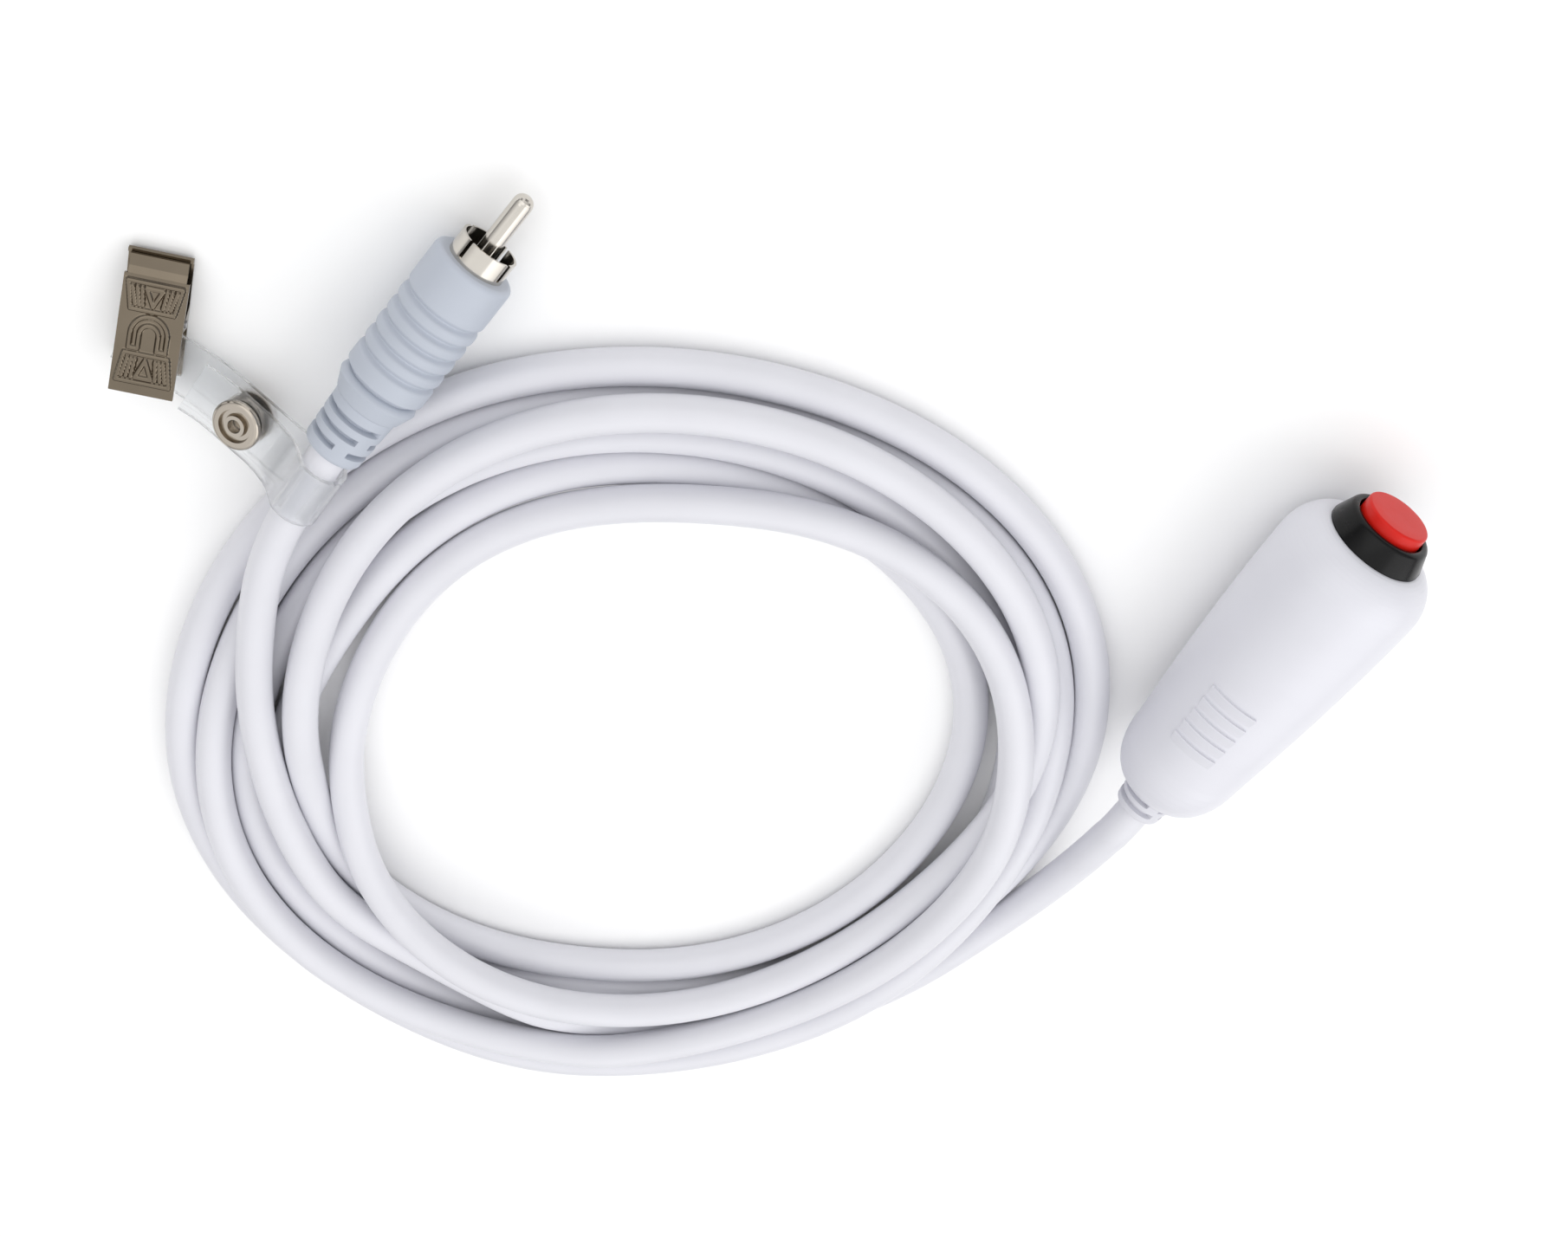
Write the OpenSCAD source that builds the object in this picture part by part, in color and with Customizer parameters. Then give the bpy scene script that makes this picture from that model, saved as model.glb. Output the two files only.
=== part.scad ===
// Hand-held call button on a coiled lead, with a phono plug and a strap clip.
// The handle lies along X with its button towards +X, and everything rests on z = 0.

/* [Handle] */
// Radius of the handle at its widest
handle_r = 13; // [12.5:0.1:13.5]
// Length of the moulded housing
housing_len = 59; // [57:0.5:60]
// Radius of the housing where the taper ends, near the tail
tail_r = 10.4; // [9.8:0.1:11]
// Wall thickness of the housing
wall = 2.4; // [2:0.1:2.8]
// Number of finger ribs
rib_count = 5; // [3:1:6]
// Height of a finger rib
rib_h = 0.45; // [0.3:0.05:0.6]
// Roll of the finger ribs away from straight up
rib_roll = 30; // [0:5:40]

/* [Button] */
// Radius of the button cap
cap_r = 5.45; // [5.2:0.05:5.5]
// How far the button can be pressed
travel = 2.2; // [1.8:0.1:2.2]
// Radius of the bezel where it meets the housing
bezel_base_r = 8.25; // [8:0.05:8.6]
// Radius of the bezel's rim
bezel_rim_r = 7.2; // [7.15:0.05:7.35]

/* [Cable] */
// Diameter of the cable
cable_d = 6; // [5.8:0.1:6]
// Outer radius of the coil
coil_out_r = 81; // [78:1:81]
// Inner radius of the coil
coil_in_r = 46; // [45:1:50]
// Height of the coil
coil_h = 13; // [12:0.5:13]

/* [Plug] */
// Length of the moulded plug body
plug_len = 37; // [36:0.5:38]
// Radius of the moulded plug body
plug_r = 6.6; // [6.2:0.1:6.6]
// Radius of the centre pin
pin_r = 1.5875; // [1.5875:0.0001:1.5875]
// How far the pin stands out of the plug's shell
pin_out = 9.3; // [8.5:0.1:9.5]
// How far the shell stands out of the plug's body
shell_out = 3.6; // [3:0.1:4]

/* [Strap clip] */
// Width of the strap
strap_w = 9.5; // [9:0.5:10]
// Thickness of the strap
strap_t = 0.7; // [0.6:0.1:0.8]
// Width of the clip's jaws
jaw_w = 9.5; // [9:0.5:10]
// Length of the clip's jaws
jaw_len = 21; // [20.5:0.5:22]
// Sheet thickness of the jaws
jaw_t = 0.6; // [0.5:0.1:0.7]

/* [Hidden] */
$fn = 64;

cable_r = cable_d / 2;
axis_z = handle_r;

// Stations along the handle, with x = 0 halfway between strain relief and button face
relief_end_x = -35;
tail_x = relief_end_x + 5;
nose_x = tail_x + housing_len;
rim_x = nose_x + 4.1;
face_x = rim_x + 1.9;

// Inside of the handle
barrel_r = 7.2;
barrel_back_x = 13;
seat_x = 22.5;
cap_flange_back_x = 28.2;
guide_r = 6.4;
bridge_x = 20.4;
base_front_x = 17;
terminal_y = 3.1;
relief_neck_r = 4;

// Places on the cord
coil_at = [-76, 76];
plug_tail_at = [-34, 146.8, 13.1];
plug_heading = -10;
plug_dip = 10;
loop_at = [-41.5, 147.5, 13.5];

// Route of the lead from the handle to the coil
lead_route = [
    [-35, 0, 13], [-42, -0.1, 12.7], [-49, -0.7, 10.8], [-57, -1.6, 7.9], [-66, -2.2, 5],
    [-74, -1.4, 3.6], [-81, 0, 3], [-88, 2, 3], [-96, 4.4, 3], [-104, 7.9, 3], [-112, 12.8, 3]];

// Route of the lead from the coil to the plug
tail_route = [
    [-127, 105, 8.4], [-123, 111.3, 9], [-118, 117.2, 9.2], [-112.4, 122.9, 9.3],
    [-106.4, 127.7, 9.4], [-99.5, 132, 9.4], [-94, 135.4, 9.5], [-87.5, 138.5, 9.8],
    [-81, 141, 10.3], [-73.5, 143.5, 11.1], [-65.4, 145.9, 12.2], [-57, 147.5, 13.1],
    [-50, 147.9, 13.5], [-41.5, 147.5, 13.5], [-37, 147.1, 13.4], [-34, 146.8, 13.1]];

// Strap, in the plane across the cable: v runs outwards, w runs up from the loop's centre
strap_heading = -6;
loop_in_r = 3.5;
snap_v = 12;
snap_tilt = -23;
rivet_v = 28.5;
rivet_at = [loop_at.x - rivet_v * sin(strap_heading), loop_at.y + rivet_v * cos(strap_heading)];
snap_r = 4;

// Clip, in its own frame: u runs from the tail to the jaw tips, w up from the floor
clip_heading = 15.5;
rivet_u = 4;
pivot_u = 10.8;
pivot_w = 3.3;
back_w = 0.5;
front_tilt = 17;

function arc(c, rx, ry, a0, a1, n) =
    [for (i = [0:n]) let (a = a0 + (a1 - a0) * i / n) [c.x + rx * cos(a), c.y + ry * sin(a)]];
function unit(v) = v / norm(v);
function flip(list) = [for (i = [len(list) - 1:-1:0]) list[i]];

// One ring of a tube at point i of its route
function tube_ring(route, i, r, sides, up) =
    let (
        last = len(route) - 1,
        t = unit(route[min(i + 1, last)] - route[max(i - 1, 0)]),
        side = unit(cross(t, up)),
        over = cross(side, t))
    [for (k = [0:sides - 1]) route[i] + r * (cos(360 * k / sides) * side + sin(360 * k / sides) * over)];

// A closed round tube along a route
module tube(route, r, sides = 12, up = [0, 0, 1]) {
    rings = len(route);
    points = [for (i = [0:rings - 1]) each tube_ring(route, i, r, sides, up)];
    walls = [for (i = [0:rings - 2], k = [0:sides - 1])
        let (a = i * sides + k, b = i * sides + (k + 1) % sides)
        [a, b, b + sides, a + sides]];
    caps = [[for (k = [sides - 1:-1:0]) k], [for (k = [0:sides - 1]) (rings - 1) * sides + k]];
    polyhedron(points, concat(walls, caps), convexity = 6);
}

// The 2-D band of thickness t that follows a flat path
module band(path, t) {
    last = len(path) - 1;
    sides = [for (i = [0:last])
        let (d = unit(path[min(i + 1, last)] - path[max(i - 1, 0)])) t / 2 * [-d.y, d.x]];
    polygon(concat([for (i = [0:last]) path[i] + sides[i]],
        flip([for (i = [0:last]) path[i] - sides[i]])));
}

// Turns a profile of [radius, x] into a solid round the handle's axis
module on_axis() {
    translate([0, 0, axis_z]) rotate([0, 90, 0]) children();
}

module round_rod(r, x0, x1) {
    translate([0, 0, x0]) cylinder(r = r, h = x1 - x0);
}

module washer(r_out, r_in, x0, x1) {
    difference() {
        round_rod(r_out, x0, x1);
        round_rod(r_in, x0 - 1, x1 + 1);
    }
}

// ---- Handle ----

taper_start_x = tail_x + 10;
shoulder_x = nose_x - 7;
function taper_r(x) =
    tail_r + (handle_r - tail_r) * (1 - pow(1 - (x - taper_start_x) / (shoulder_x - taper_start_x), 1.6));

module housing_outline() {
    taper = [for (i = [0:10]) let (x = taper_start_x + (shoulder_x - taper_start_x) * i / 10) [taper_r(x), x]];
    polygon(concat([[0, tail_x]],
        arc([5, taper_start_x], tail_r - 5, 10, -90, 0, 10),
        taper,
        arc([8, shoulder_x], handle_r - 8, nose_x - shoulder_x, 0, 90, 12),
        [[0, nose_x]]));
}

module housing_cavity() {
    polygon([[0, tail_x + 4], [6, tail_x + 4], [tail_r - wall, taper_start_x + 2],
        [handle_r - wall - 0.6, shoulder_x - 4], [handle_r - wall - 0.6, shoulder_x],
        [barrel_r + 1, nose_x - 4], [0, nose_x - 4]]);
}

// A ramp that rises to a sharp edge facing the button
module finger_rib(x) {
    r = taper_r(x);
    rotate([0, 0, 180 - rib_roll - 21])
        rotate_extrude(angle = 42)
            polygon([[r - 0.6, x - 2], [r - 0.16, x - 2], [r + rib_h, x - 0.2], [r + rib_h, x], [r - 0.6, x]]);
}

module housing() {
    first_rib_x = -2;
    rib_pitch = 2.75;
    color("white") on_axis() {
        difference() {
            rotate_extrude($fn = 96) housing_outline();
            rotate_extrude($fn = 96) housing_cavity();
            round_rod(barrel_r, nose_x - 6, nose_x + 1);
            round_rod(relief_neck_r, tail_x - 1, tail_x + 6);
        }
        for (i = [0:rib_count - 1]) finger_rib(first_rib_x - rib_pitch * i);
    }
}

module switch_bezel() {
    rim_round = 0.95;
    color("black") on_axis() rotate_extrude() polygon(concat(
        [[barrel_r, barrel_back_x], [barrel_r, nose_x], [bezel_base_r, nose_x],
            [bezel_base_r, nose_x + 0.5]],
        arc([bezel_rim_r - rim_round, rim_x - rim_round], rim_round, rim_round, 20, 90, 8),
        [[cap_r + 0.65, rim_x], [cap_r + 0.35, rim_x - 0.5], [cap_r + 0.35, cap_flange_back_x + 2.2],
            [guide_r, cap_flange_back_x + 2.2], [guide_r, seat_x], [4.7, seat_x],
            [4.7, base_front_x], [6, base_front_x], [6, barrel_back_x]]));
}

module button_cap() {
    color("red") on_axis() rotate_extrude() polygon(concat(
        [[0, face_x]],
        arc([cap_r - 0.6, face_x - 0.6], 0.6, 0.6, 90, 0, 6),
        [[cap_r, cap_flange_back_x + 2.1], [guide_r - 0.05, cap_flange_back_x + 2.1],
            [guide_r - 0.05, cap_flange_back_x], [4.2, cap_flange_back_x], [4.2, face_x - 2],
            [3, face_x - 2], [3, cap_flange_back_x + 1], [1.9, cap_flange_back_x + 1],
            [1.9, face_x - 3], [0, face_x - 3]]));
}

module plunger() {
    color("ivory") on_axis() {
        round_rod(1.9, bridge_x + 0.6, face_x - 3);
        round_rod(1.2, bridge_x - 0.9, bridge_x + 0.6);
    }
}

module contact_bridge() {
    color("goldenrod") on_axis() washer(4.2, 1.2, bridge_x, bridge_x + 0.6);
}

module bridge_clip() {
    color("silver") on_axis() washer(2.1, 1.2, bridge_x - 0.5, bridge_x);
}

module return_spring() {
    turns = 4;
    steps = 14;
    helix_r = 5.35;
    wire_r = 0.28;
    first = seat_x + wire_r + 0.05;
    rise = cap_flange_back_x - seat_x - 2 * wire_r - 0.1;
    points = [for (i = [0:turns * steps])
        let (a = 360 * i / steps)
        [first + rise * i / (turns * steps), helix_r * cos(a), axis_z + helix_r * sin(a)]];
    color("silver") tube(points, wire_r, sides = 6, up = [1, 0, 0]);
}

module switch_base() {
    color("saddlebrown") on_axis() difference() {
        round_rod(6, barrel_back_x, base_front_x);
        for (side = [-1, 1])
            translate([-0.4, side * terminal_y - 1, barrel_back_x - 1]) cube([0.8, 2, 6]);
    }
}

// A blade through the base, with a contact pad that the bridge lands on
module terminal(side) {
    pad_x = bridge_x - travel - 0.05;
    color("gold") on_axis() {
        translate([-0.4, side * terminal_y - 1, 8]) cube([0.8, 2, base_front_x - 8]);
        translate([-1, side * terminal_y - 0.7, base_front_x]) cube([2, 1.4, pad_x - base_front_x]);
    }
}

module terminal_a() { terminal(1); }
module terminal_b() { terminal(-1); }

// A sleeve shrunk over the soldered joint
module sleeve(side) {
    color("dimgray") on_axis() translate([0, side * terminal_y, 0]) difference() {
        round_rod(1.6, 4.5, 12);
        round_rod(1.1, 7.9, 13);
        round_rod(0.75, 4, 9);
    }
}

module sleeve_a() { sleeve(1); }
module sleeve_b() { sleeve(-1); }

// A wire core from the jacket's end to a terminal
module wire(side) {
    tube([[-20, side * 1.2, axis_z], [-17, side * 1.2, axis_z], [-12, side * 2, axis_z + side],
        [-6, side * 3.2, axis_z + side * 1.5], [0, side * 3.2, axis_z + side * 0.6],
        [4, side * terminal_y, axis_z], [7.9, side * terminal_y, axis_z]], 0.7, sides = 8);
}

module wire_a() { color("crimson") wire(1); }
module wire_b() { color("black") wire(-1); }

module handle_cable_end() {
    color("white") on_axis() round_rod(cable_r, relief_end_x, -20);
}

module cable_tie() {
    color("ivory") on_axis() {
        washer(cable_r + 1.1, cable_r, tail_x + 6.4, tail_x + 9);
        translate([cable_r + 0.6, -2.2, tail_x + 6]) cube([2, 4.4, 3.4]);
    }
}

// Circumferential slots that let a strain relief bend, two to a row, turned row by row
module relief_slots(stations, r_out, r_in, width, turn) {
    for (i = [0:len(stations) - 1], half = [0, 180])
        rotate([0, 0, half + turn * i + 14])
            rotate_extrude(angle = 152)
                translate([r_in, stations[i] - width / 2]) square([r_out - r_in, width]);
}

module strain_relief() {
    lip_x = relief_end_x;
    color("white") on_axis() difference() {
        rotate_extrude() polygon(concat([[cable_r, lip_x]],
            arc([3.7, lip_x + 0.45], 0.45, 0.45, -90, 0, 4),
            [[4.3, tail_x - 3.2], [4.75, tail_x], [relief_neck_r, tail_x],
                [relief_neck_r, tail_x + 4], [5.2, tail_x + 4], [5.2, tail_x + 6],
                [cable_r, tail_x + 6]]));
        relief_slots([tail_x - 1.1, tail_x - 3.1], 6, cable_r + 0.5, 0.9, 24);
    }
}

// ---- Cord ----

module cable_lead() { color("white") tube(lead_route, cable_r); }

// The outer shape of the wound turns, one layer thick at its edges
module cable_coil() {
    color("whitesmoke") translate([coil_at.x, coil_at.y, 0]) rotate_extrude($fn = 96)
        polygon([[coil_in_r, 0], [coil_out_r, 0], [coil_out_r, 4.8], [coil_out_r - 3, 6.3],
            [coil_out_r - 9, 8.6], [coil_out_r - 13, coil_h - 1], [coil_out_r - 16, coil_h],
            [coil_in_r + 10, coil_h], [coil_in_r + 3, 9], [coil_in_r, 5]]);
}

module cable_tail() { color("white") tube(tail_route, cable_r); }

// ---- Plug, in its own frame: z runs from the tail (0) to the front (plug_len) ----

module at_plug() {
    translate(plug_tail_at) rotate([0, 90 + plug_dip, plug_heading]) children();
}

relief_len = 9.5;
collar_z = 13.4;
shell_r = 4.6;
shell_wall = 0.4;
shell_depth = 11;
pin_root_r = 1.2;

module plug_body() {
    ribs = [for (i = [0:4]) plug_len - 8 - 2.8 * i];
    color("lightsteelblue") at_plug() difference() {
        rotate_extrude() polygon(concat(
            [[cable_r, 0]],
            arc([4, 0.9], 0.75, 0.9, -90, 0, 4),
            [[5.15, relief_len], [5.5, relief_len + 0.3]],
            arc([plug_r - 1.2, collar_z - 1.6], 1.2, 1.6, 20, 90, 4),
            [[plug_r, collar_z + 1]],
            [[plug_r, plug_len - 0.9]],
            arc([plug_r - 0.9, plug_len - 0.9], 0.9, 0.9, 0, 90, 5),
            [[shell_r, plug_len], [shell_r, plug_len - shell_depth], [2.4, plug_len - shell_depth],
                [2.4, 12], [cable_r, 12]]));
        for (z = ribs) washer(plug_r + 1, plug_r - 0.5, z - 0.4, z + 0.4);
        relief_slots([2.6, 5, 7.4], 6, cable_r + 0.6, 0.9, 30);
    }
}

// A thin sleeve, split at the front so that it grips a socket
module plug_shell() {
    back = plug_len - shell_depth;
    front = plug_len + shell_out;
    color("silver") at_plug() difference() {
        round_rod(shell_r, back, front);
        round_rod(shell_r - shell_wall, back + 0.8, front + 1);
        round_rod(2.4, back - 1, back + 2);
        for (a = [45, 135]) rotate([0, 0, a])
            translate([-shell_r - 1, -0.3, front - 3]) cube([2 * shell_r + 2, 0.6, 4]);
    }
}

module plug_insulator() {
    back = plug_len - shell_depth;
    color("gainsboro") at_plug() {
        washer(shell_r - shell_wall, pin_root_r, back + 0.8, back + 4);
        washer(2.4, pin_root_r, back, back + 0.8);
    }
}

module plug_pin() {
    tip = plug_len + shell_out + pin_out;
    back = plug_len - shell_depth;
    color("silver") at_plug() rotate_extrude() polygon(concat(
        [[0, back - 3], [pin_root_r, back - 3], [pin_root_r, back + 4], [pin_r, back + 4],
            [pin_r, tip - 1.5]],
        arc([0.35, tip - 1.5], pin_r - 0.35, 1.5, 0, 90, 6),
        [[0, tip]]));
}

module plug_cable_end() {
    color("white") at_plug() round_rod(cable_r, 0, 12);
}

module signal_wire() {
    color("crimson") at_plug() round_rod(0.7, 12, plug_len - shell_depth - 3);
}

module ground_wire() {
    color("black") at_plug()
        tube([[0, 1.2, 12], [0, 1.5, 15], [0, 1.8, 18], [0, 2, 21], [0, 2, plug_len - shell_depth]],
            0.35, sides = 8, up = [1, 0, 0]);
}

// ---- Strap ----

// Places a flat (v, w) outline across the cable, centred on the loop
module at_loop() {
    translate(loop_at) rotate([90, 0, 90 + strap_heading]) children();
}

loop_mid_r = loop_in_r + strap_t / 2;
// Heights above the floor along the leg to the clip, and along the leg that ends in the free flap
clip_leg = [[33, 1.5], [24.5, 1.5], [21, 2], [17, 2.85], [5, 7.77]];
flap_leg = [[4.6, 12.6], [6.2, 10.9], [8, 9.6], [9.5, 8.83], [15.8, 6.24], [18.5, 5.45], [21, 5.1]];
strap_path = concat(
    [for (p = clip_leg) [p.x, p.y - loop_at.z]],
    arc([0, 0], loop_mid_r, loop_mid_r, 248, 38, 20),
    [for (p = flap_leg) [p.x, p.y - loop_at.z]]);

module at_snap() {
    translate([snap_v, 6.35 - loop_at.z, 0]) rotate([0, 0, snap_tilt]) rotate([-90, 0, 0]) children();
}

module strap() {
    color("aliceblue", 0.5) difference() {
        at_loop() linear_extrude(strap_w, center = true) band(strap_path, strap_t);
        at_loop() at_snap() cylinder(r = 1.6, h = 8, center = true);
        translate([rivet_at.x, rivet_at.y, -1]) cylinder(r = 1.3, h = 4);
    }
}

// Each snap piece is stacked along the snap's own axis
module snap_piece(profile, shade) {
    color(shade) at_loop() at_snap() rotate_extrude() polygon(profile);
}

strap_gap = 1;

module snap_cap() {
    z = strap_gap + strap_t + 0.12;
    snap_piece(concat([[1.1, z - strap_t - 0.4], [1.5, z - strap_t - 0.4], [1.5, z], [snap_r - 0.3, z],
        [snap_r, z + 0.3]], arc([snap_r - 0.6, z + 0.6], 0.6, 0.6, 0, 90, 5),
        [[2.7, z + 1.2], [2.5, z + 0.5], [1.9, z + 0.5], [1.7, z + 1.3], [1.1, z + 1.3]]), "silver");
}

module snap_socket() {
    z = 0.05;
    snap_piece([[1.65, z], [3.6, z], [3.6, z + strap_gap - 0.3], [1.65, z + strap_gap - 0.3]], "gainsboro");
}

module snap_stud() {
    snap_piece([[0, -strap_gap + 0.35], [3.2, -strap_gap + 0.35], [3.2, -0.05], [1, -0.05],
        [1, strap_gap + 0.1], [0, strap_gap + 0.1]], "gainsboro");
}

module snap_post() {
    z = -strap_gap - strap_t - 0.12;
    snap_piece([[0, z - 0.9], [2.8, z - 0.9], [snap_r, z - 0.4], [snap_r, z], [1.5, z],
        [1.5, z + strap_t + 0.45], [0, z + strap_t + 0.45]], "silver");
}

// ---- Clip, placed with its swivel axis at the strap's rivet ----

module at_clip() {
    translate([rivet_at.x, rivet_at.y, 0]) rotate([0, 0, clip_heading])
        translate([-rivet_u, 0, 0]) children();
}

module clip_rivet() {
    color("silver") translate([rivet_at.x, rivet_at.y, 0]) {
        cylinder(r = 1.25, h = 2.2);
        translate([0, 0, 1.9]) cylinder(r = 2.2, h = 0.5);
        cylinder(r = 2.1, h = 0.45);
    }
}

// The side view of a jaw, drawn in the (u, w) plane and spread across the jaw's width
module across_jaw(width) {
    rotate([90, 0, 0]) linear_extrude(width, center = true) children();
}

module jaw_ears(spread) {
    for (side = [-1, 1]) translate([0, side * spread, 0]) across_jaw(jaw_t) children();
}

module pivot_hole() {
    translate([pivot_u, 0, pivot_w]) rotate([90, 0, 0]) cylinder(r = 0.65, h = 20, center = true);
}

module back_jaw() {
    color("silver") at_clip() difference() {
        union() {
            across_jaw(jaw_w) polygon([[0, back_w], [jaw_len - 0.6, back_w], [jaw_len, back_w + 0.5],
                [jaw_len, back_w + 1.2], [jaw_len - 0.6, back_w + 1.2], [jaw_len - 1, back_w + jaw_t],
                [0, back_w + jaw_t]]);
            jaw_ears(jaw_w / 2 - jaw_t / 2) {
                polygon([[pivot_u - 2.2, back_w], [pivot_u + 2.2, back_w],
                    [pivot_u + 1.1, pivot_w], [pivot_u - 1.1, pivot_w]]);
                translate([pivot_u, pivot_w]) circle(r = 1.1);
            }
        }
        pivot_hole();
        translate([rivet_u, 0, -1]) cylinder(r = 1.3, h = 4);
    }
}

module front_jaw() {
    tip_w = back_w + 1.25;
    shoulder_u = jaw_len - 3.3;
    function top_w(u) = tip_w + 0.3 + (jaw_len - u) * tan(front_tilt);
    color("silver") at_clip() difference() {
        union() {
            across_jaw(jaw_w) band([[0.3, top_w(0.3)], [shoulder_u, top_w(shoulder_u)]], jaw_t);
            across_jaw(jaw_w - 1) band([[shoulder_u - 1, top_w(shoulder_u - 1)],
                [shoulder_u, top_w(shoulder_u)], [shoulder_u + 1, top_w(shoulder_u + 1) - 0.35],
                [jaw_len - 0.4, tip_w + 0.35]], jaw_t);
            jaw_ears(jaw_w / 2 - jaw_t * 1.5 - 0.1) {
                polygon([[pivot_u - 2.6, top_w(pivot_u - 2.6)], [pivot_u + 2.6, top_w(pivot_u + 2.6)],
                    [pivot_u + 1.1, pivot_w], [pivot_u - 1.1, pivot_w]]);
                translate([pivot_u, pivot_w]) circle(r = 1.1);
            }
        }
        pivot_hole();
    }
}

module jaw_pin() {
    color("silver") at_clip() translate([pivot_u, 0, pivot_w]) rotate([90, 0, 0])
        cylinder(r = 0.6, h = jaw_w + 0.4, center = true);
}

// A torsion spring round the pin, with one leg on each jaw
module jaw_spring() {
    turns = 4;
    steps = 12;
    wire_r = 0.2;
    coil_r = 0.95;
    half = 2.2;
    winding = [for (i = [0:turns * steps])
        let (a = 200 + 360 * i / steps)
        [pivot_u + coil_r * cos(a), -half + 2 * half * i / (turns * steps), pivot_w + coil_r * sin(a)]];
    color("gray") at_clip() tube(winding, wire_r, sides = 6, up = [0, 1, 0]);
}

housing();
switch_bezel();
button_cap();
plunger();
contact_bridge();
bridge_clip();
return_spring();
switch_base();
terminal_a();
terminal_b();
sleeve_a();
sleeve_b();
wire_a();
wire_b();
handle_cable_end();
cable_tie();
strain_relief();
cable_lead();
cable_coil();
cable_tail();
plug_body();
plug_shell();
plug_insulator();
plug_pin();
plug_cable_end();
signal_wire();
ground_wire();
strap();
snap_cap();
snap_socket();
snap_stud();
snap_post();
clip_rivet();
back_jaw();
front_jaw();
jaw_pin();
jaw_spring();
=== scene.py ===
import math

import bpy
import numpy as np
from mathutils import Matrix, Vector


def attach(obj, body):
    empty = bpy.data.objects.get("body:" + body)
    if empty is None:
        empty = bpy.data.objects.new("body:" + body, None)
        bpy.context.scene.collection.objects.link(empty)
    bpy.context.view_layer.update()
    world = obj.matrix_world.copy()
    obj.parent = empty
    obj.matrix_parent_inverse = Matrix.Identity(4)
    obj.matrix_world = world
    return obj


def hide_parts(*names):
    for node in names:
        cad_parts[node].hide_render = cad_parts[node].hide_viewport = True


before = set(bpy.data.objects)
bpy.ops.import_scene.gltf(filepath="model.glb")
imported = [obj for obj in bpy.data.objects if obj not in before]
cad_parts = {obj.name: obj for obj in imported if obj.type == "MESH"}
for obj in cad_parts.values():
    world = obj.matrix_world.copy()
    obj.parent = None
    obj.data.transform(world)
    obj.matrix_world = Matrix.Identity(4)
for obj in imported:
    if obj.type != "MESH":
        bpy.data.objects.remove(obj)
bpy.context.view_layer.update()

MM = 0.001
TAU = 2 * math.pi

# ---- Driving dimensions, in mm, the same as the CAD's ----
CABLE_D = 6.0
AXIS_Z = 13.0
RELIEF_END_X = -35.0
HOUSING_TAIL_X = -30.0
HOUSING_NOSE_X = 29.0
RIM_X = 33.1
FACE_X = 35.0
BEZEL_BASE_R = 8.25
BEZEL_RIM_R = 7.2
CAP_R = 5.45
BARREL_R = 7.2
BARREL_BACK_X = 13.0
BASE_FRONT_X = 17.0
SEAT_X = 22.5
SEAT_BORE_R = 4.7
BASE_R = 6.0
FLANGE_BACK_X = 28.2
GUIDE_R = 6.4
STEM_R = 1.9
CAP_HOLLOW = (3.0, 4.2)
COIL_AT = (-76.0, 76.0)
PLUG_TAIL_AT = (-34.0, 146.8, 13.1)
PLUG_DIP = 10.0
PLUG_HEADING = -10.0
PLUG_LEN = 37.0
PLUG_R = 6.6
SHELL_R = 4.6
LOOP_AT = (-41.5, 147.5, 13.5)
STRAP_W = 9.5
STRAP_T = 0.7
LOOP_MID_R = 3.85
STRAP_HEADING = -6.0
RIVET_V = 28.5
CLIP_HEADING = 15.5
RIVET_U = 4.0
JAW_LEN = 21.0
JAW_W = 9.5
JAW_T = 0.6
JAW_TIP_W = 1.75
JAW_TILT = 17.0

# The lead from the handle to the coil, and from the coil to the plug, as in the CAD
LEAD_ROUTE = [
    (-35, 0, 13), (-42, -0.1, 12.7), (-49, -0.7, 10.8), (-57, -1.6, 7.9), (-66, -2.2, 5),
    (-74, -1.4, 3.6), (-81, 0, 3), (-88, 2, 3), (-96, 4.4, 3), (-104, 7.9, 3), (-112, 12.8, 3)]
TAIL_ROUTE = [
    (-127, 105, 8.4), (-123, 111.3, 9), (-118, 117.2, 9.2), (-112.4, 122.9, 9.3),
    (-106.4, 127.7, 9.4), (-99.5, 132, 9.4), (-94, 135.4, 9.5), (-87.5, 138.5, 9.8),
    (-81, 141, 10.3), (-73.5, 143.5, 11.1), (-65.4, 145.9, 12.2), (-57, 147.5, 13.1),
    (-50, 147.9, 13.5), (-41.5, 147.5, 13.5), (-37, 147.1, 13.4), (-34, 146.8, 13.1)]

# The coil as it was laid down: one row a turn, and in a row the radius in mm and the place
# in the pile, counted up from the floor, at every sixth of a turn going clockwise from FIRST_ANGLE
FIRST_ANGLE = 210
LAID_TURNS = [
    [(72, 0), (69, 0), (62, 0), (68, 0), (68, 0), (65, 0)],
    [(59, 0), (63, 0), (54, 0), (62, 0), (62, 0), (54, 0)],
    [(53, 0), (57, 0), (59, 2), (75, 3), (75, 3), (60, 1)],
    [(57, 2), (54, 2), (48, 0), (58, 1), (69, 2), (62, 3)],
    [(64, 3), (73, 3), (68, 1), (73, 1), (76, 1), (67, 4)],
    [(70, 4), (76, 1), (74, 1), (79, 1), (82, 1), (70, 1)],
    [(65, 1)]]
PILE_RISE = 2.8


# ---- Small tools ----

def srgb(red, green, blue):
    """A display colour from 0 to 255 as the linear colour that a shader takes."""
    def linear(value):
        value /= 255
        return value / 12.92 if value <= 0.04045 else ((value + 0.055) / 1.055) ** 2.4
    return (linear(red), linear(green), linear(blue), 1)


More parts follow.
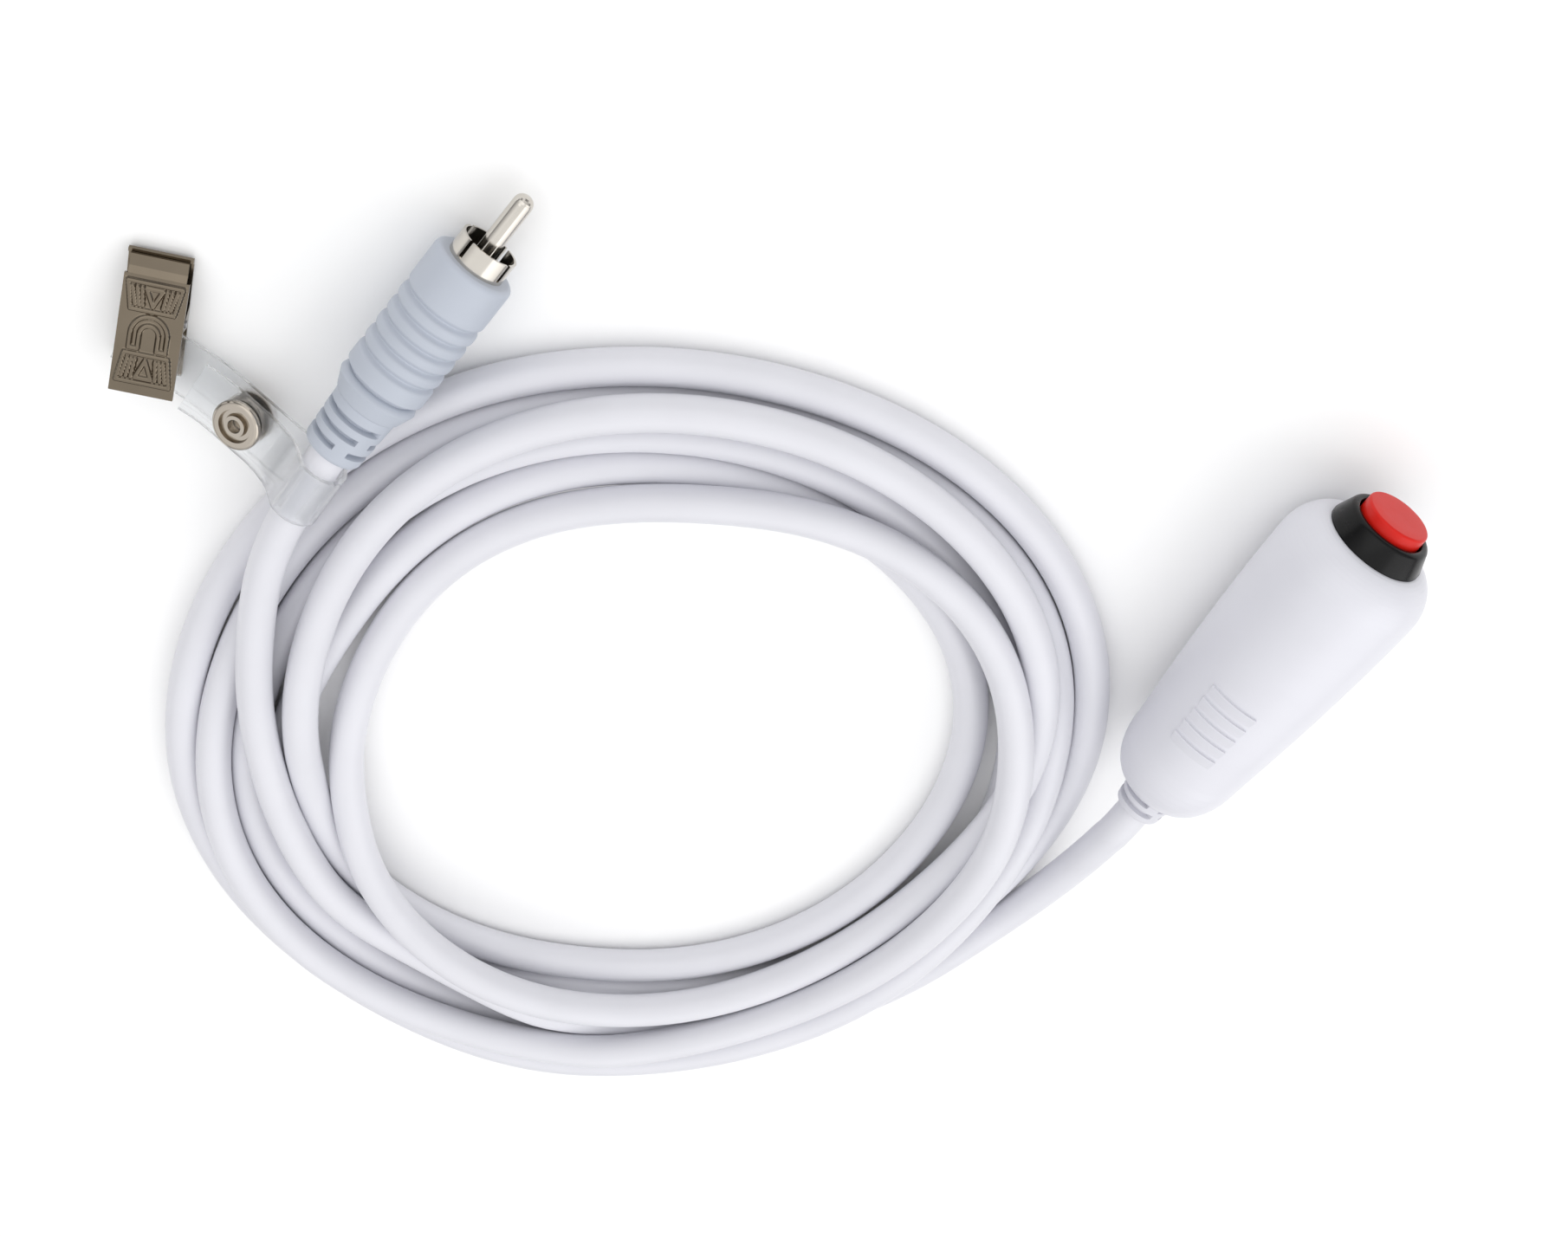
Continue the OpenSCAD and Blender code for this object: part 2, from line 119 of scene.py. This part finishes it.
def arc(centre, radii, start, end, steps):
    """Points on part of an ellipse, with its angles in degrees."""
    turn = np.radians(np.linspace(start, end, steps + 1))
    return [(centre[0] + radii[0] * math.cos(a), centre[1] + radii[1] * math.sin(a)) for a in turn]


def spline(points, per_span):
    """A smooth line through the points, with per_span steps from each point to the next."""
    points = np.array(points, float)
    ends = np.vstack([2 * points[0] - points[1], points, 2 * points[-1] - points[-2]])
    t = np.linspace(0, 1, per_span, endpoint=False)[:, None]
    spans = []
    for before, start, end, after in zip(ends, ends[1:], ends[2:], ends[3:]):
        spans.append(0.5 * (2 * start + (end - before) * t
                            + (2 * before - 5 * start + 4 * end - after) * t ** 2
                            + (3 * start - before - 3 * end + after) * t ** 3))
    return np.vstack(spans + [points[-1:]])


def evenly(points, step):
    """The same line with its points a step apart."""
    points = np.array(points, float)
    travelled = np.r_[0, np.cumsum(np.linalg.norm(np.diff(points, axis=0), axis=1))]
    stations = np.linspace(0, travelled[-1], int(round(travelled[-1] / step)) + 1)
    return np.stack([np.interp(stations, travelled, axis) for axis in points.T], 1)


def line_length(points):
    return float(np.linalg.norm(np.diff(points, axis=0), axis=1).sum())


def smooth_step(value):
    """0 below 0, 1 above 1 and a smooth rise between."""
    value = np.clip(value, 0, 1)
    return value * value * (3 - 2 * value)


def mesh_piece(name, points, faces, material, body, crease=35):
    """A smooth-shaded mesh with its points in metres, sharp where it folds by more than crease."""
    mesh = bpy.data.meshes.new(name)
    mesh.from_pydata([tuple(p) for p in points], [], faces)
    mesh.materials.append(material)
    mesh.shade_smooth()
    mesh.set_sharp_from_angle(angle=math.radians(crease))
    piece = bpy.data.objects.new(name, mesh)
    bpy.context.scene.collection.objects.link(piece)
    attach(piece, body)
    return piece


def grid_faces(rows, columns, closed=False):
    """Quads of a grid of points. A closed grid joins its last column to its first."""
    faces = []
    for row in range(rows - 1):
        for column in range(columns if closed else columns - 1):
            beside = (column + 1) % columns
            faces.append((row * columns + column, row * columns + beside,
                          (row + 1) * columns + beside, (row + 1) * columns + column))
    return faces


def turned(name, profile, place, material, body, sides=160, dents=None):
    """A piece turned round its own z axis from (radius, z) points in mm, less what dents takes off."""
    radius, z = np.array(profile, float).T
    angle = np.linspace(0, TAU, sides, endpoint=False)[None, :]
    radius, z = radius[:, None] + 0 * angle, z[:, None] + 0 * angle
    if dents:
        radius = radius - dents(angle, z)
    points = np.stack([radius * np.cos(angle), radius * np.sin(angle), z], -1).reshape(-1, 3)
    points = [place @ Vector(p) * MM for p in points]
    return mesh_piece(name, points, grid_faces(*radius.shape, closed=True), material, body)


def slot_dents(angle, z, rows, width, depth, first, turn):
    """Two slots to a row, each 152 degrees long with soft ends, turned on row by row."""
    cut = np.zeros_like(z)
    for index, row in enumerate(rows):
        across = smooth_step((width / 2 - np.abs(z - row)) / 0.15 + 0.5)
        for half in (0, 180):
            middle = math.radians(half + first + turn * index)
            off = np.abs((angle - middle + math.pi) % TAU - math.pi)
            along = smooth_step((math.radians(76) - off) / 0.05)
            cut = np.maximum(cut, across * along)
    return depth * cut


# ---- Finishes ----

def noise(tree, scale, detail=3.0):
    """A noise value that follows the object, with scale features to the metre."""
    place = tree.nodes.new("ShaderNodeTexCoord")
    texture = tree.nodes.new("ShaderNodeTexNoise")
    texture.inputs["Scale"].default_value = scale
    texture.inputs["Detail"].default_value = detail
    tree.links.new(place.outputs["Object"], texture.inputs["Vector"])
    return texture.outputs["Fac"]


def finish(name, colour, roughness, metallic=0.0, shade=0.04, grain_mm=0.5, bump_mm=0.004, coat=0.0,
           clear=0.0, see_through=1.0, shine=0.5):
    """A finish with uneven colour, uneven gloss and a fine grain that catches the light."""
    material = bpy.data.materials.new(name)
    material.use_nodes = True
    tree = material.node_tree
    shader = tree.nodes["Principled BSDF"]
    shader.inputs["Metallic"].default_value = metallic
    shader.inputs["Specular IOR Level"].default_value = shine
    shader.inputs["Coat Weight"].default_value = coat
    shader.inputs["Coat Roughness"].default_value = 0.15
    shader.inputs["Transmission Weight"].default_value = clear
    shader.inputs["Alpha"].default_value = see_through
    ramp = tree.nodes.new("ShaderNodeValToRGB")
    ramp.color_ramp.elements[0].position = 0.3
    ramp.color_ramp.elements[1].position = 0.7
    ramp.color_ramp.elements[0].color = [value * (1 - shade) for value in colour[:3]] + [1]
    ramp.color_ramp.elements[1].color = [min(1, value * (1 + shade)) for value in colour[:3]] + [1]
    tree.links.new(noise(tree, 90), ramp.inputs["Fac"])
    tree.links.new(ramp.outputs["Color"], shader.inputs["Base Color"])
    gloss = tree.nodes.new("ShaderNodeMapRange")
    gloss.inputs["To Min"].default_value = max(0.03, roughness - 0.08)
    gloss.inputs["To Max"].default_value = roughness + 0.08
    tree.links.new(noise(tree, 400), gloss.inputs["Value"])
    tree.links.new(gloss.outputs["Result"], shader.inputs["Roughness"])
    bump = tree.nodes.new("ShaderNodeBump")
    bump.inputs["Strength"].default_value = 0.6
    bump.inputs["Distance"].default_value = bump_mm * MM
    tree.links.new(noise(tree, 1 / (grain_mm * MM), detail=4), bump.inputs["Height"])
    tree.links.new(bump.outputs["Normal"], shader.inputs["Normal"])
    return material


FINISHES = {
    "housing_white": finish("housing_white", srgb(221, 221, 228), 0.4, shade=0.012, coat=0.12),
    "bezel_black": finish("bezel_black", srgb(8, 8, 9), 0.26, shade=0.2, shine=0.22),
    "button_red": finish("button_red", srgb(208, 28, 18), 0.34, shade=0.05, shine=0.25),
    "nylon": finish("nylon", srgb(228, 224, 206), 0.5),
    "contact_brass": finish("contact_brass", srgb(214, 176, 92), 0.3, metallic=1),
    "spring_steel": finish("spring_steel", srgb(178, 178, 182), 0.25, metallic=1),
    "phenolic_brown": finish("phenolic_brown", srgb(104, 62, 36), 0.45, shade=0.15),
    "sleeve_grey": finish("sleeve_grey", srgb(70, 70, 74), 0.55),
    "wire_red": finish("wire_red", srgb(196, 30, 36), 0.4),
    "wire_black": finish("wire_black", srgb(28, 28, 30), 0.4),
    "cable_white": finish("cable_white", srgb(221, 221, 227), 0.4, shade=0.015, grain_mm=0.8),
    "relief_white": finish("relief_white", srgb(215, 215, 222), 0.42, shade=0.015),
    "plug_grey_blue": finish("plug_grey_blue", srgb(184, 190, 201), 0.5, shade=0.02),
    "plug_nickel": finish("plug_nickel", srgb(205, 200, 192), 0.16, metallic=1),
    "insulator": finish("insulator", srgb(206, 204, 198), 0.5),
    "clear_vinyl": finish("clear_vinyl", srgb(246, 248, 250), 0.08, clear=0.95, see_through=0.6),
    "snap_nickel": finish("snap_nickel", srgb(182, 174, 163), 0.1, metallic=1),
    "clip_nickel": finish("clip_nickel", srgb(120, 110, 96), 0.2, metallic=1, shade=0.08),
}

FINISH_OF_NODES = {
    "housing_white": ["housing"],
    "bezel_black": ["switch_bezel"],
    "button_red": ["button_cap"],
    "nylon": ["plunger", "cable_tie"],
    "contact_brass": ["contact_bridge", "terminal_a", "terminal_b"],
    "spring_steel": ["bridge_clip", "return_spring", "jaw_spring", "jaw_pin"],
    "phenolic_brown": ["switch_base"],
    "sleeve_grey": ["sleeve_a", "sleeve_b"],
    "wire_red": ["wire_a", "signal_wire"],
    "wire_black": ["wire_b", "ground_wire"],
    "cable_white": ["handle_cable_end", "plug_cable_end", "cable_lead", "cable_coil", "cable_tail"],
    "relief_white": ["strain_relief"],
    "plug_grey_blue": ["plug_body"],
    "plug_nickel": ["plug_shell", "plug_pin"],
    "insulator": ["plug_insulator"],
    "clear_vinyl": ["strap"],
    "snap_nickel": ["snap_cap", "snap_socket", "snap_stud", "snap_post", "clip_rivet"],
    "clip_nickel": ["back_jaw", "front_jaw"],
}


def dress_cad_nodes():
    """Gives every CAD node that is carried over its finish."""
    for name, nodes in FINISH_OF_NODES.items():
        for node in nodes:
            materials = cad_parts[node].data.materials
            materials.clear()
            materials.append(FINISHES[name])


# ---- Camera ----

def make_camera():
    """Looks down at the coil with the camera rolled, so that the handle is at the right."""
    place = Vector((180.9, 190.8, 310.9)) * MM
    aim = Vector((-38.1, 66.7, 0)) * MM
    back = (place - aim).normalized()
    right = Vector((0, 0, -1)).cross(back).normalized()
    up = back.cross(right)
    data = bpy.data.cameras.new("camera")
    data.sensor_width = 36
    data.lens = 55.7
    data.clip_start = 0.01
    camera = bpy.data.objects.new("camera", data)
    bpy.context.scene.collection.objects.link(camera)
    camera.matrix_world = Matrix.Translation(place) @ Matrix((right, up, back)).transposed().to_4x4()
    bpy.context.scene.camera = camera


# ---- Cable ----

# Steps along the cable in mm, and how many passes it takes to sink and then to clear itself
CABLE_STEP = 2.5
CONTACT_D = CABLE_D * 1.02
SINK_STEPS = 500
CLEAN_STEPS = 200
REFRESH = 10
# Points that keep to their route at each end, and the number over which the hold fades away
HELD_AT_HANDLE = 16
HELD_AT_PLUG = 22
HOLD_FADE = 16


def laid_cable():
    """The cable's line before it settles: the lead, the laid turns, the lead to the plug.
    A short bend, shaped by the points on both sides of the gap, joins the turns to each lead."""
    winding = [value for turn in LAID_TURNS for value in turn]
    controls = []
    for index, (radius, place) in enumerate(winding):
        controls.append((FIRST_ANGLE - 60 * index, radius, CABLE_D / 2 + PILE_RISE * place))
    angle, radius, height = spline(controls, 12).T
    turns = np.stack([COIL_AT[0] + radius * np.cos(np.radians(angle)),
                      COIL_AT[1] + radius * np.sin(np.radians(angle)), height], 1)
    lead = spline(LEAD_ROUTE, 6)
    tail = spline(TAIL_ROUTE, 6)
    bend_in = spline([lead[-7], lead[-1], turns[0], turns[6]], 8)[8:17]
    bend_out = spline([turns[-7], turns[-1], tail[0], tail[6]], 12)[12:25]
    line = evenly(np.vstack([lead[:-1], bend_in, turns[1:-1], bend_out, tail[1:]]), CABLE_STEP)
    inner = slice(4, -4)
    line[inner] = smoothed(line, 3)[inner]
    return line


def touching_pairs(line, reach, apart):
    """Index pairs of points nearer than reach, leaving out those within apart steps on the line."""
    first, second = [], []
    for index in range(0, len(line) - apart):
        rest = line[index + apart:]
        near = np.nonzero(((rest - line[index]) ** 2).sum(1) < reach ** 2)[0]
        first.append(np.full(len(near), index))
        second.append(near + index + apart)
    return np.concatenate(first), np.concatenate(second)


def smoothed(values, reach):
    """Each value's mean with the reach points before it and after it."""
    width = 2 * reach + 1
    padded = np.concatenate([values[:1].repeat(reach, 0), values, values[-1:].repeat(reach, 0)])
    total = np.cumsum(np.concatenate([0 * padded[:1], padded]), axis=0)
    return (total[width:] - total[:-width]) / width


def contact_push(line, first, second, lift):
    """How far each point must move, square to the cable, so that no turns pass through each other.
    A lift above 1 makes turns that are too close part upwards sooner than sideways."""
    gap = line[second] - line[first]
    distance = np.maximum(np.linalg.norm(gap, axis=1), 1e-6)
    depth = np.maximum(CONTACT_D - distance, 0)
    way = gap * (1, 1, lift)
    way /= np.maximum(np.linalg.norm(way, axis=1), 1e-6)[:, None]
    move = way * (0.3 * depth)[:, None]
    push = np.stack([np.bincount(second, move[:, axis], len(line))
                     - np.bincount(first, move[:, axis], len(line)) for axis in range(3)], 1)
    along = np.gradient(line, axis=0)
    along /= np.linalg.norm(along, axis=1)[:, None]
    return push - along * (push * along).sum(1)[:, None]


def settled_cable():
    """Lets the laid cable sink onto the floor and onto itself without passing through itself."""
    laid = laid_cable()
    line = laid.copy()
    station = np.arange(len(laid))
    to_held = np.minimum(station - HELD_AT_HANDLE, len(laid) - 1 - HELD_AT_PLUG - station)
    freedom = smooth_step(to_held / HOLD_FADE)[:, None]
    apart = int(4 * CABLE_D / CABLE_STEP)
    for step in range(SINK_STEPS + CLEAN_STEPS):
        sinking = step < SINK_STEPS
        if step % REFRESH == 0:
            first, second = touching_pairs(line, 1.5 * CABLE_D, apart)
        if sinking:
            line[:, 2] -= 0.04
            line[:, :2] += 0.05 * (laid[:, :2] - line[:, :2])
        line[:, 2] += 0.15 * (smoothed(line[:, 2], 3) - line[:, 2])
        drift = line[:, :2] - laid[:, :2]
        line[:, :2] = laid[:, :2] + drift + 0.15 * (smoothed(drift, 3) - drift)
        push = contact_push(line, first, second, 3 if step < SINK_STEPS / 3 else 1)
        line += 1.5 * smoothed(push, 2)
        line[:, 2] = np.maximum(line[:, 2], CABLE_D / 2)
        line = laid + freedom * (line - laid)
    return evenly(line, CABLE_STEP)


def make_cable():
    line = settled_cable()
    curve = bpy.data.curves.new("cable", "CURVE")
    curve.dimensions = "3D"
    curve.bevel_depth = CABLE_D / 2 * MM
    curve.bevel_resolution = 8
    curve.use_fill_caps = True
    run = curve.splines.new("POLY")
    run.points.add(len(line) - 1)
    run.points.foreach_set("co", np.c_[line * MM, np.ones(len(line))].ravel())
    run.use_smooth = True
    curve.materials.append(FINISHES["cable_white"])
    cable = bpy.data.objects.new("cable", curve)
    bpy.context.scene.collection.objects.link(cable)
    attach(cable, "root")
    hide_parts("cable_lead", "cable_coil", "cable_tail")
    return cable, line_length(line) * MM


# ---- Light and floor ----

def make_floor():
    mesh = bpy.data.meshes.new("floor")
    half = 6.0
    mesh.from_pydata([(-half, -half, 0), (half, -half, 0), (half, half, 0), (-half, half, 0)], [],
                     [(0, 1, 2, 3)])
    mesh.materials.append(finish("floor", srgb(251, 251, 251), 0.9, shade=0.002))
    floor = bpy.data.objects.new("floor", mesh)
    bpy.context.scene.collection.objects.link(floor)


def area_light(name, place, aim, size, power):
    data = bpy.data.lights.new(name, "AREA")
    data.size = size
    data.energy = power
    light = bpy.data.objects.new(name, data)
    light.location = place
    light.rotation_mode = "QUATERNION"
    light.rotation_quaternion = (Vector(aim) - Vector(place)).to_track_quat("-Z", "Y")
    bpy.context.scene.collection.objects.link(light)


def make_light():
    """A broad sky that is darker at the horizon, a soft key and a weak fill."""
    world = bpy.data.worlds.new("world")
    bpy.context.scene.world = world
    world.use_nodes = True
    tree = world.node_tree
    place = tree.nodes.new("ShaderNodeTexCoord")
    split = tree.nodes.new("ShaderNodeSeparateXYZ")
    ramp = tree.nodes.new("ShaderNodeValToRGB")
    ramp.color_ramp.elements[0].position = 0.0
    ramp.color_ramp.elements[0].color = (0.18, 0.18, 0.185, 1)
    ramp.color_ramp.elements[1].position = 0.75
    ramp.color_ramp.elements[1].color = (1, 1, 1, 1)
    tree.links.new(place.outputs["Generated"], split.inputs["Vector"])
    tree.links.new(split.outputs["Z"], ramp.inputs["Fac"])
    tree.links.new(ramp.outputs["Color"], tree.nodes["Background"].inputs["Color"])
    tree.nodes["Background"].inputs["Strength"].default_value = 1.12
    middle = (-0.05, 0.07, 0)
    area_light("key", (-0.15, -0.75, 0.7), middle, 1.2, 3.6)
    area_light("fill", (0.5, 0.5, 0.6), middle, 0.9, 1)
    bpy.context.scene.view_settings.view_transform = "Standard"


# ---- Handle ----

ON_AXIS = Matrix.Translation((0, 0, AXIS_Z)) @ Matrix.Rotation(math.pi / 2, 4, "Y")


def make_strain_relief():
    lip = RELIEF_END_X
    outline = [(3, lip)] + arc((3.7, lip + 0.45), (0.45, 0.45), -90, 0, 6) + [
        (4.3, HOUSING_TAIL_X - 3.2), (4.75, HOUSING_TAIL_X)]
    profile = evenly(outline, 0.08)
    rows = (HOUSING_TAIL_X - 1.1, HOUSING_TAIL_X - 3.1)

    def dents(angle, z):
        return slot_dents(angle, z, rows, 0.9, 1.0, 90, 24)

    relief = turned("strain_relief_outer", profile, ON_AXIS, FINISHES["relief_white"], "root",
                    dents=dents)
    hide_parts("strain_relief")


def make_bezel():
    """The barrel that holds the switch, and a tapering ring with a soft bead round the button."""
    bead = 0.95
    outline = [(BARREL_R, BARREL_BACK_X), (BARREL_R, HOUSING_NOSE_X), (BEZEL_BASE_R, HOUSING_NOSE_X),
               (BEZEL_BASE_R, HOUSING_NOSE_X + 0.5)]
    outline += arc((BEZEL_RIM_R - bead, RIM_X - bead), (bead, bead), 20, 90, 12)
    outline += arc((CAP_R + 0.65, RIM_X - 0.3), (0.3, 0.3), 90, 180, 6)
    outline += [(CAP_R + 0.35, FLANGE_BACK_X + 2.2), (GUIDE_R, FLANGE_BACK_X + 2.2),
                (GUIDE_R, SEAT_X), (SEAT_BORE_R, SEAT_X), (SEAT_BORE_R, BASE_FRONT_X),
                (BASE_R, BASE_FRONT_X), (BASE_R, BARREL_BACK_X), (BARREL_R, BARREL_BACK_X)]
    bezel = turned("bezel_ring", outline, ON_AXIS, FINISHES["bezel_black"], "root")
    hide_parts("switch_bezel")


def make_button():
    """The cap, hollow behind, with a small round edge to its face."""
    edge = 0.45
    hollow_in, hollow_out = CAP_HOLLOW
    outline = [(0.01, FACE_X - 3), (STEM_R, FACE_X - 3), (STEM_R, FLANGE_BACK_X + 1),
               (hollow_in, FLANGE_BACK_X + 1), (hollow_in, FACE_X - 2), (hollow_out, FACE_X - 2),
               (hollow_out, FLANGE_BACK_X),
               (GUIDE_R - 0.05, FLANGE_BACK_X), (GUIDE_R - 0.05, FLANGE_BACK_X + 2.1),
               (CAP_R, FLANGE_BACK_X + 2.1)]
    outline += arc((CAP_R - edge, FACE_X - edge), (edge, edge), 0, 90, 8)
    outline += [(3, FACE_X), (0.01, FACE_X)]
    button = turned("button_cover", outline, ON_AXIS, FINISHES["button_red"], "button")
    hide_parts("button_cap")


# ---- Plug ----

AT_PLUG = (Matrix.Translation(PLUG_TAIL_AT) @ Matrix.Rotation(math.radians(PLUG_HEADING), 4, "Z")
           @ Matrix.Rotation(math.radians(90 + PLUG_DIP), 4, "Y"))


def make_plug_body():
    outline = ([(3, 0)] + arc((4, 0.9), (0.75, 0.9), -90, 0, 6) + [(5.15, 9.5), (5.5, 9.8)]
               + arc((PLUG_R - 1.2, 11.8), (1.2, 1.6), 20, 90, 8) + [(PLUG_R, 14.4)]
               + [(PLUG_R, PLUG_LEN - 0.9)]
               + arc((PLUG_R - 0.9, PLUG_LEN - 0.9), (0.9, 0.9), 0, 90, 8)
               + [(SHELL_R, PLUG_LEN), (SHELL_R, PLUG_LEN - 3)])
    profile = evenly(outline, 0.1)
    rings = [PLUG_LEN - 8 - 2.8 * index for index in range(5)]

    def dents(angle, z):
        grooves = sum(0.75 * np.exp(-((z - ring) / 0.5) ** 2) for ring in rings)
        return slot_dents(angle, z, (2.6, 5, 7.4), 0.9, 1.3, 90, 30) + grooves

    body = turned("plug_cover", profile, AT_PLUG, FINISHES["plug_grey_blue"], "root", dents=dents)
    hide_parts("plug_body")
    return body


# ---- Strap and clip ----

# (distance out from the cable, height) along the leg to the clip, and along the free flap
CLIP_LEG = [(33, 1.5), (24.5, 1.5), (21, 2), (17, 2.85), (5, 7.77)]
FLAP_LEG = [(4.6, 12.6), (6.2, 10.9), (8, 9.6), (9.5, 8.83), (15.8, 6.24), (18.5, 5.45), (21, 5.1)]


AT_STRAP = (Matrix.Translation((LOOP_AT[0], LOOP_AT[1], 0))
            @ Matrix.Rotation(math.radians(STRAP_HEADING), 4, "Z"))


def make_strap():
    """A smooth clear band that leaves the clip, turns round the cable and ends in a free flap."""
    loop = [(v, LOOP_AT[2] + w) for v, w in arc((0, 0), (LOOP_MID_R, LOOP_MID_R), 248, 38, 30)]
    path = evenly(spline(CLIP_LEG + loop + FLAP_LEG, 4), 0.4)
    across = np.linspace(-STRAP_W / 2, STRAP_W / 2, 13)
    points = [AT_STRAP @ Vector((t, v, w)) * MM for v, w in path for t in across]
    strap = mesh_piece("strap_band", points, grid_faces(len(path), len(across)),
                       FINISHES["clear_vinyl"], "strap")
    thicken = strap.modifiers.new("thickness", "SOLIDIFY")
    thicken.thickness = STRAP_T * MM
    thicken.offset = 0
    rounding = strap.modifiers.new("rounding", "BEVEL")
    rounding.width = 0.15 * MM
    rounding.segments = 2
    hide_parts("strap")
    return strap


AT_CLIP = (Matrix.Translation(AT_STRAP @ Vector((0, RIVET_V, 0)))
           @ Matrix.Rotation(math.radians(CLIP_HEADING), 4, "Z")
           @ Matrix.Translation((-RIVET_U, 0, 0)))
SHOULDER_U = JAW_LEN - 3.3
RIDGE_H = 0.34
RIDGE_HALF_W = 0.16
# Where the pressed pattern starts and ends along the jaw, from its tail
TAIL_FRAME = (2.2, 6.4)
ARCH_FEET = 7.2
ARCH_CENTRE = 9.4
TIP_FRAME = (12.9, 16.9)


def trapezoid(wide_u, narrow_u, wide_half, narrow_half):
    """A frame, three slanted ribs at each side and a small triangle in the middle."""
    lines = [[(wide_u, -wide_half), (wide_u, wide_half), (narrow_u, narrow_half),
              (narrow_u, -narrow_half), (wide_u, -wide_half)]]
    inset = 0.75 * (1 if narrow_u > wide_u else -1)
    for side in (-1, 1):
        for near in (0.82, 0.64, 0.46):
            lines.append([(wide_u + inset, side * near * wide_half),
                          (narrow_u - inset, side * near * narrow_half)])
    lines.append([(wide_u + inset, -0.3 * wide_half), (wide_u + inset, 0.3 * wide_half),
                  (narrow_u - inset, 0), (wide_u + inset, -0.3 * wide_half)])
    return lines


def arch(outer, inner):
    """The outline of a horseshoe that opens towards the tail."""
    over = arc((ARCH_CENTRE, 0), (outer, outer), -90, 90, 16)
    under = arc((ARCH_CENTRE, 0), (inner, inner), 90, -90, 12)
    return [[(ARCH_FEET, -outer)] + over + [(ARCH_FEET, outer), (ARCH_FEET, inner)] + under
            + [(ARCH_FEET, -inner), (ARCH_FEET, -outer)]]


def distance_to_lines(u, v, lines):
    """How far each point of the plate is from the nearest pressed line."""
    nearest = np.full(u.shape, 1e9)
    for line in lines:
        for (u0, v0), (u1, v1) in zip(line, line[1:]):
            du, dv = u1 - u0, v1 - v0
            along = np.clip(((u - u0) * du + (v - v0) * dv) / (du * du + dv * dv), 0, 1)
            nearest = np.minimum(nearest, np.hypot(u - u0 - along * du, v - v0 - along * dv))
    return nearest


def make_jaw_face():
    """The pressed skin on the front jaw: frames, ribs and an arch that stiffen the sheet."""
    slope = math.tan(math.radians(JAW_TILT))
    lines = trapezoid(TAIL_FRAME[0], TAIL_FRAME[1], 3.9, 3.2) + arch(2.7, 1.4)
    lines += trapezoid(TIP_FRAME[1], TIP_FRAME[0], 4.0, 3.2)
    u = np.arange(0.35, SHOULDER_U - 0.3, 0.1)
    v = np.linspace(-JAW_W / 2 + 0.05, JAW_W / 2 - 0.05, 96)
    u, v = np.meshgrid(u, v, indexing="ij")
    edge = np.minimum(np.minimum(u - u.min(), u.max() - u), v.max() - np.abs(v))
    skin = 0.04 * smooth_step(edge / 0.2)
    near = distance_to_lines(u, v, lines)
    raised = RIDGE_H * smooth_step(1.5 - near / (2 * RIDGE_HALF_W))
    middle = JAW_TIP_W + 0.3 + (JAW_LEN - u) * slope
    top = middle + JAW_T / 2 / math.cos(math.radians(JAW_TILT)) + skin + raised
    points = [AT_CLIP @ Vector(p) * MM for p in np.stack([u, v, top], -1).reshape(-1, 3)]
    face = mesh_piece("jaw_face", points, grid_faces(*u.shape), FINISHES["clip_nickel"], "jaw")
    return face


# ---- The whole scene ----

make_camera()
cable, cable_length = make_cable()
dress_cad_nodes()
make_strain_relief()
make_bezel()
make_button()
plug_cover = make_plug_body()
strap_band = make_strap()
jaw_face = make_jaw_face()
on_cable = [plug_cover, strap_band, jaw_face]
on_cable += [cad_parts[name] for name in (
    "plug_shell", "plug_insulator", "plug_pin", "plug_cable_end", "signal_wire", "ground_wire",
    "snap_cap", "snap_socket", "snap_stud", "snap_post", "clip_rivet", "back_jaw", "front_jaw",
    "jaw_pin", "jaw_spring")]
make_floor()
make_light()
